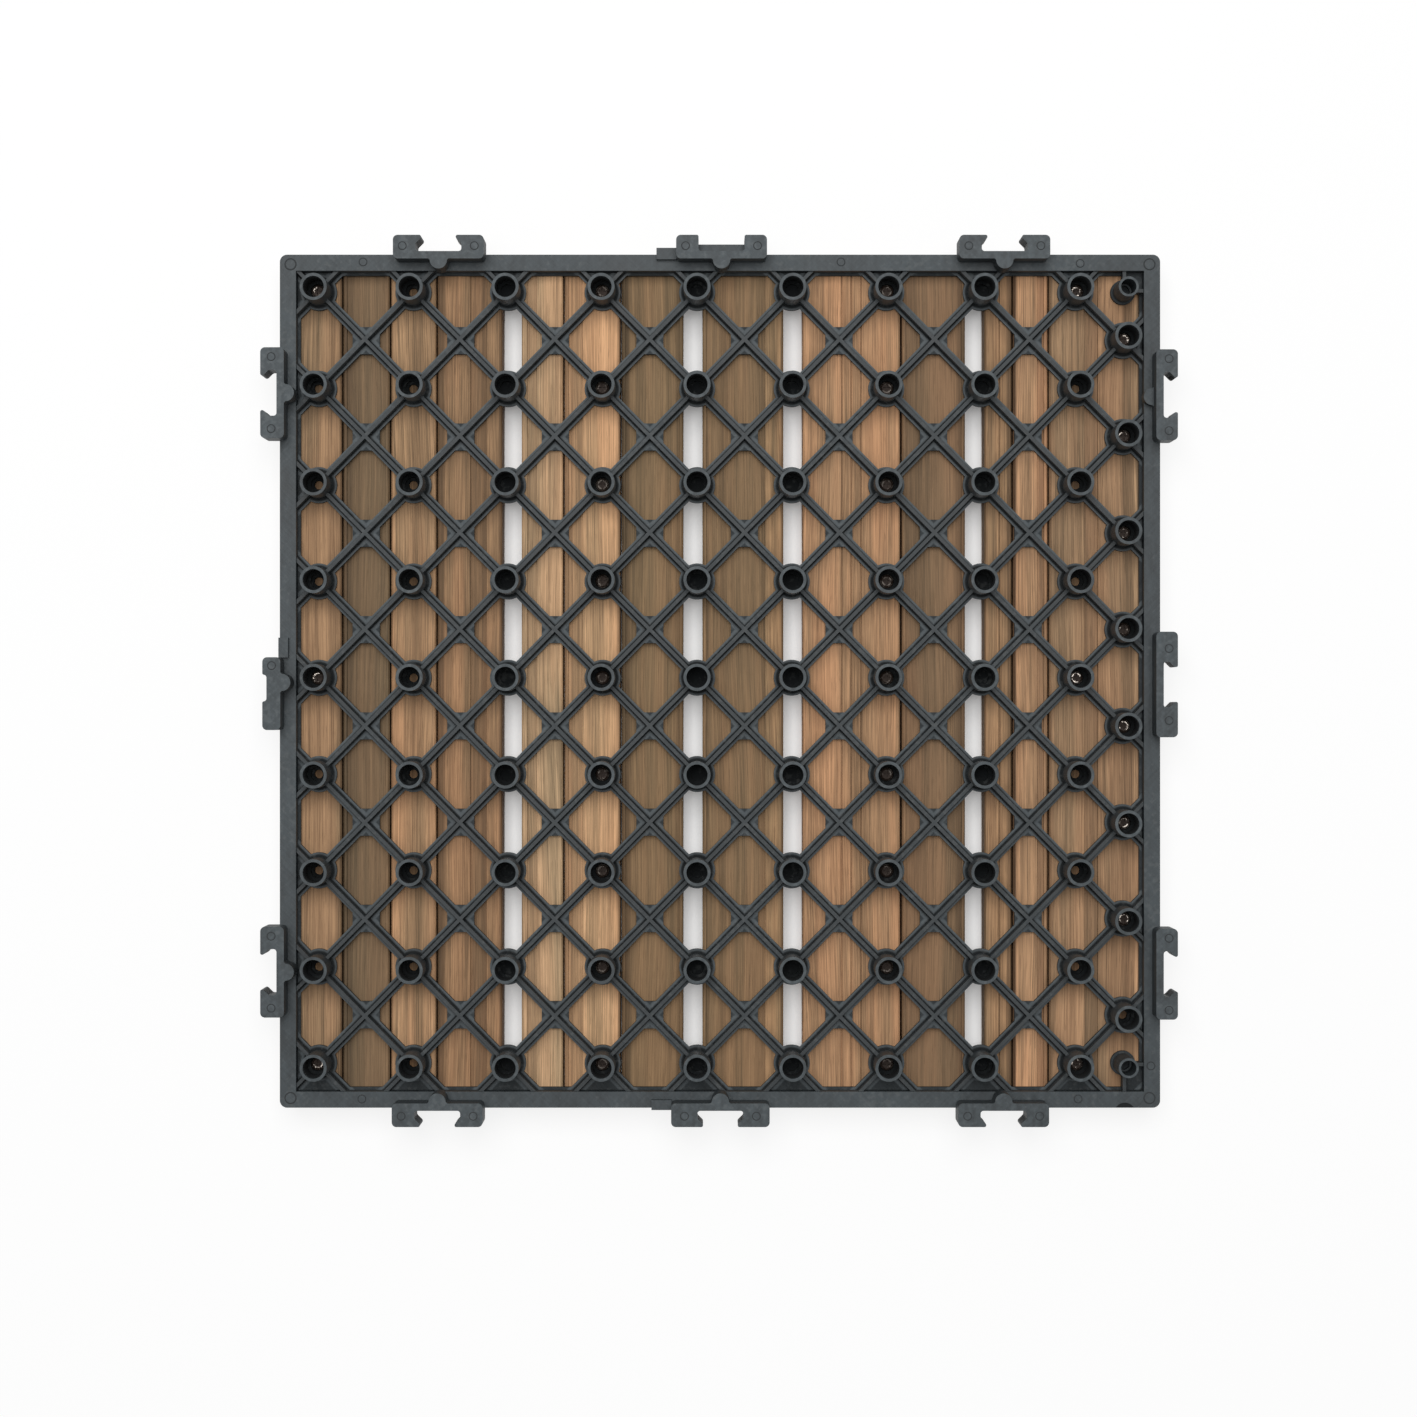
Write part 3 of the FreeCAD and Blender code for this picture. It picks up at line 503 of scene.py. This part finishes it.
# The ejector pins' marks on the rim, and on the two arms of each clip
RIM_MARKS = [(-122.1, 143.4), (41.4, 143.4), (123.2, 142.9), (122.5, -142.9), (-122.5, -142.9), (147.4, -131.6)]
CORNER_MARKS = [(x, y) for x in (-146.9, 146.9) for y in (-142.6, 142.6)]
CLIP_MIDDLES = {"north": (-95.5, 0.5, 96.5), "south": (-95.9, 0.1, 96.1), "west": (-98.7, 97.7),
                "east": (-99.4, -1.2, 97.0)}
ARM = 12.2
ARM_OUT = 1.6
FILLED_CLIP_MARK = (-152.0, 5.2)

# How far the marks and their outlines stand out, as shares of their thickness
MARK_LIFT = 0.3
OUTLINE_LIFT = 0.1


def clip_marks():
    """The places on the arms of the clips."""
    for side, middles in CLIP_MIDDLES.items():
        for middle in middles:
            for along in (middle - ARM, middle + ARM):
                if side in ("north", "south"):
                    yield along, (HALF_TILE[1] + ARM_OUT) * (1 if side == "north" else -1)
                else:
                    yield (HALF_TILE[0] + ARM_OUT) * (1 if side == "east" else -1), along
    yield FILLED_CLIP_MARK


class DECKTILE_OT_slats(bpy.types.Operator):
    """Give each slat its own wood"""
    bl_idname = "deck_tile.slats"
    bl_label = "Slats"

    def execute(self, context):
        settings = context.scene.deck_tile
        for node in sorted(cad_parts):
            if node.startswith("slat_"):
                number = int(node[-2:])
                colour = tuple(getattr(settings.slats, node))
                sides = [corner[0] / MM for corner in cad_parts[node].bound_box]
                bands = [band for band in BANDS_AND_PAINTED_SHADE if min(sides) - band[1] < band[0] < max(sides) + band[1]]
                dress(node, wood_finish(f"wood_{number:02d}", colour, settings.wood, number, bands))
        return {"FINISHED"}


class DECKTILE_OT_base(bpy.types.Operator):
    """Give the moulded base its charcoal plastic"""
    bl_idname = "deck_tile.base"
    bl_label = "Moulded base"

    def execute(self, context):
        dress("base_grid", plastic_finish("charcoal_plastic", context.scene.deck_tile.plastic))
        return {"FINISHED"}


class DECKTILE_OT_screws(bpy.types.Operator):
    """Give the screws their steel"""
    bl_idname = "deck_tile.screws"
    bl_label = "Screws"

    def execute(self, context):
        dress("screws", steel_finish("screw_steel", context.scene.deck_tile.steel))
        return {"FINISHED"}


class DECKTILE_OT_marks(bpy.types.Operator):
    """Add the round marks of the ejector pins on the rim and the clips, each ringed by a dark pad that is painted
    shade
    """
    bl_idname = "deck_tile.marks"
    bl_label = "Moulding marks"

    def execute(self, context):
        plastic = context.scene.deck_tile.plastic
        # The dark outline pads are painted shade round the edge of each mark
        outline_shade = Finish("mark_outline", Roughness=0.8, Base_Color=(*shade(plastic.colour, 0.3), 1)).material
        self.lay("pin_outlines", plastic, plastic.mark_radius, OUTLINE_LIFT, outline_shade)
        self.lay("pin_marks", plastic, plastic.mark_radius - plastic.mark_outline, MARK_LIFT,
                 bpy.data.materials["charcoal_plastic"])
        return {"FINISHED"}

    def lay(self, name, plastic, radius, lift, material):
        """Lays a pad on each of the places, raised by this share of its height."""
        first = low_pad(radius, plastic.mark_height)
        deselect()
        copies = []
        for height, growth, places in ((BAND_TOP, 1, RIM_MARKS), (BAND_TOP, plastic.corner_growth, CORNER_MARKS),
                                       (CLIP_TOP, 1, clip_marks())):
            for x, y in places:
                copy = first.copy()
                copy.data = first.data.copy()
                copy.location = (x * MM, y * MM, height * MM - plastic.mark_height * (0.5 - lift))
                copy.scale = (growth, growth, 1)
                bpy.context.collection.objects.link(copy)
                copies.append(copy)
        bpy.data.objects.remove(first)
        for copy in copies:
            copy.select_set(True)
        bpy.context.view_layer.objects.active = copies[0]
        bpy.ops.object.join()
        settle(bpy.context.object, name, material)


class DECKTILE_OT_stage(bpy.types.Operator):
    """Set up the pale floor, the soft light and the camera"""
    bl_idname = "deck_tile.stage"
    bl_label = "Stage"

    def execute(self, context):
        stage = context.scene.deck_tile.stage
        self.add_floor(stage.floor_width)
        self.add_light("key_light", (-0.1, 0.5, 1.75), 1.3, 29)
        self.add_world(context.scene)
        self.add_camera(context.scene, stage)
        return {"FINISHED"}

    def add_floor(self, width):
        deselect()
        bpy.ops.mesh.primitive_plane_add(size=width, location=(0, 0, -0.0002))
        floor = bpy.context.object
        floor.name = "floor"
        finish = Finish("pale_floor", Roughness=0.9, Specular_IOR_Level=0.1)
        finish.shader.inputs["Base Color"].default_value = (0.9, 0.9, 0.9, 1)
        beyond = finish.step(finish.across.off(0), HALF_TILE[0], HALF_TILE[0] + 1).most(
            finish.step(finish.along.off(0), HALF_TILE[1], HALF_TILE[1] + 1))
        share = beyond * 0.78
        # Painted light: in the gaps, the floor in the tile's shade glows a fifth of the way to white for the rays
        # that see it
        for gap in GAPS:
            share = share.most((1 - finish.step(finish.across.off(gap), GAP_WIDTH / 2 - 0.3, GAP_WIDTH / 2)) * 0.2)
        glow = finish.node("Emission", {"Color": (1, 1, 1), "Strength": 1.05})
        lit = Signal(finish, finish.shader.outputs[0])
        both = finish.node("MixShader", {0: finish.seen() * share, 1: lit, 2: glow})
        finish.feed(finish.tree.nodes["Material Output"].inputs["Surface"], both)
        floor.data.materials.append(finish.material)

    def add_light(self, name, place, size, power):
        deselect()
        bpy.ops.object.light_add(type="AREA", location=place)
        lamp = bpy.context.object
        lamp.name = name
        lamp.data.size = size
        lamp.data.energy = power
        lamp.rotation_euler = (-Vector(place)).to_track_quat("-Z", "Y").to_euler()

    def add_world(self, scene):
        world = bpy.data.worlds.new("studio")
        world.use_nodes = True
        nodes = Nodes(world.node_tree)
        background = world.node_tree.nodes["Background"]
        background.inputs["Color"].default_value = (1, 1, 1, 1)
        nodes.feed(background.inputs["Strength"], nodes.seen() * (1 - AMBIENT) + AMBIENT)
        scene.world = world

    def add_camera(self, scene, stage):
        deselect()
        bpy.ops.object.camera_add(location=(stage.camera_x, stage.camera_y, stage.camera_height),
                                  rotation=(0, 0, 0))
        camera = bpy.context.object
        camera.data.sensor_width = 36
        camera.data.lens = stage.lens
        camera.data.clip_start = 0.01
        scene.camera = camera
        scene.view_settings.view_transform = "Standard"


class DECKTILE_PT_panel(bpy.types.Panel):
    """Lists the steps and their settings"""
    bl_idname = "DECKTILE_PT_panel"
    bl_label = "Deck Tile"
    bl_space_type = "VIEW_3D"
    bl_region_type = "UI"
    bl_category = "Deck Tile"

    def draw(self, context):
        settings = context.scene.deck_tile
        for operator in OPERATORS:
            self.layout.operator(operator.bl_idname)
        for name in ("slats", "wood", "plastic", "steel", "stage"):
            group = getattr(settings, name)
            box = self.layout.box()
            box.label(text=name.capitalize())
            for item in group.bl_rna.properties:
                if item.identifier not in ("rna_type", "name"):
                    box.prop(group, item.identifier)


OPERATORS = (DECKTILE_OT_slats, DECKTILE_OT_base, DECKTILE_OT_screws, DECKTILE_OT_marks, DECKTILE_OT_stage)
GROUPS = (DeckTileSlatTones, DeckTileWood, DeckTilePlastic, DeckTileSteel, DeckTileStage, DeckTileSettings)
CLASSES = GROUPS + OPERATORS + (DECKTILE_PT_panel,)


def register():
    for item in CLASSES:
        bpy.utils.register_class(item)
    bpy.types.Scene.deck_tile = PointerProperty(type=DeckTileSettings)


def unregister():
    del bpy.types.Scene.deck_tile
    for item in reversed(CLASSES):
        bpy.utils.unregister_class(item)


def main():
    register()
    bpy.ops.deck_tile.slats()
    bpy.ops.deck_tile.base()
    bpy.ops.deck_tile.screws()
    bpy.ops.deck_tile.marks()
    bpy.ops.deck_tile.stage()


if __name__ == "__main__":
    main()
